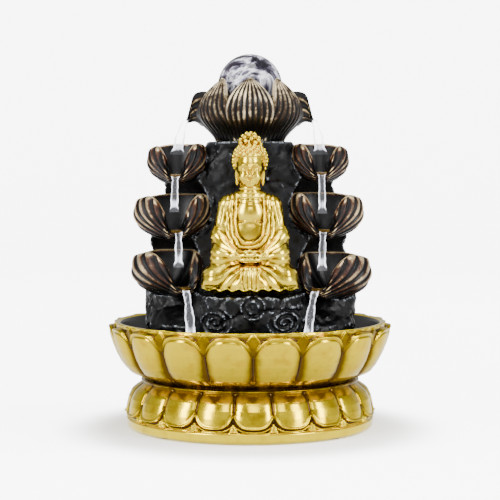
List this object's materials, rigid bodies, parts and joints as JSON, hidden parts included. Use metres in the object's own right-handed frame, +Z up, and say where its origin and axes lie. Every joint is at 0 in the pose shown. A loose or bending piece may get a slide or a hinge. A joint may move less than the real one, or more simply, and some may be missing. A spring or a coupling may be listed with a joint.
{
  "type": "tabletop water fountain",
  "caption": "Tabletop water fountain: petalled basin and plinth, rock tower with leaf cups, seated figure, and a lotus crown that carries a rolling glass ball.",
  "frame": {"origin": "centre of the footprint, on the table that the four foot pads stand on", "axes": "+Z up, -Y towards the front that the seated figure faces, +X to the right as seen from the front"},
  "size_m": [0.2118, 0.2096, 0.2784],
  "materials": {
    "gold_resin": "gold lacquer, satin",
    "black_resin": "cast resin, satin black",
    "bronze_resin": "cast resin, black with bronze edges",
    "swirled_glass": "polished",
    "clear_plastic": "clear",
    "black_plastic": "moulded",
    "soft_rubber": "matte",
    "shaft_ceramic": "ground ceramic",
    "ferrite": "pressed ferrite",
    "lamp_board": "white board",
    "vinyl_hose": "clear vinyl"
  },
  "bodies": {
    "fountain": {"cable_grommet": "soft_rubber", "cup_left_bottom": "bronze_resin", "cup_left_middle": "bronze_resin", "cup_left_top": "bronze_resin", "cup_right_bottom": "bronze_resin", "cup_right_middle": "bronze_resin", "cup_right_top": "bronze_resin", "foot_pad_front_left": "soft_rubber", "foot_pad_front_right": "soft_rubber", "foot_pad_rear_left": "soft_rubber", "foot_pad_rear_right": "soft_rubber", "jet_inlet": "black_plastic", "lamp_lead": "soft_rubber", "lamp_lens": "clear_plastic", "lamp_ring": "lamp_board", "lead_clip": "black_plastic", "lotus_bowl": "gold_resin", "lotus_crown": "bronze_resin", "lotus_plinth": "gold_resin", "pump_motor": "black_plastic", "pump_volute": "black_plastic", "riser_hose": "vinyl_hose", "rock_seat": "black_resin", "rock_tower": "black_resin", "rotor_shaft": "shaft_ceramic", "seated_figure": "gold_resin", "shaft_bush_inner": "soft_rubber", "shaft_bush_outer": "soft_rubber", "suction_foot_front_left": "soft_rubber", "suction_foot_front_right": "soft_rubber", "suction_foot_rear_left": "soft_rubber", "suction_foot_rear_right": "soft_rubber"},
    "seat": {"ball_seat": "clear_plastic"},
    "ball": {"glass_ball": "swirled_glass"},
    "rotor": {"rotor_magnet": "ferrite", "impeller": "black_plastic"},
    "strainer": {"intake_cover": "black_plastic"},
    "slider": {"flow_slider": "black_plastic"},
    "panel": {"pump_panel": "black_resin"}
  },
  "joints": [
    {"name": "seat_lift", "type": "slide", "parent": "fountain", "child": "seat", "axis": [0, 0, 1], "range_m": [0, 0.05]},
    {"name": "ball_spin", "type": "hinge", "parent": "seat", "child": "ball", "pos_m": [0, 0, 0.2544], "axis": [1, 0, 0], "continuous": true},
    {"name": "rotor_spin", "type": "hinge", "parent": "fountain", "child": "rotor", "pos_m": [0, 0, 0.0659], "axis": [0, 1, 0], "continuous": true},
    {"name": "strainer_pull", "type": "slide", "parent": "fountain", "child": "strainer", "axis": [0, 1, 0], "range_m": [0, 0.012]},
    {"name": "flow_slide", "type": "slide", "parent": "strainer", "child": "slider", "axis": [1, 0, 0], "range_m": [-0.005, 0.005]},
    {"name": "panel_pull", "type": "slide", "parent": "fountain", "child": "panel", "axis": [0, 1, 0], "range_m": [0, 0.022]}
  ]
}
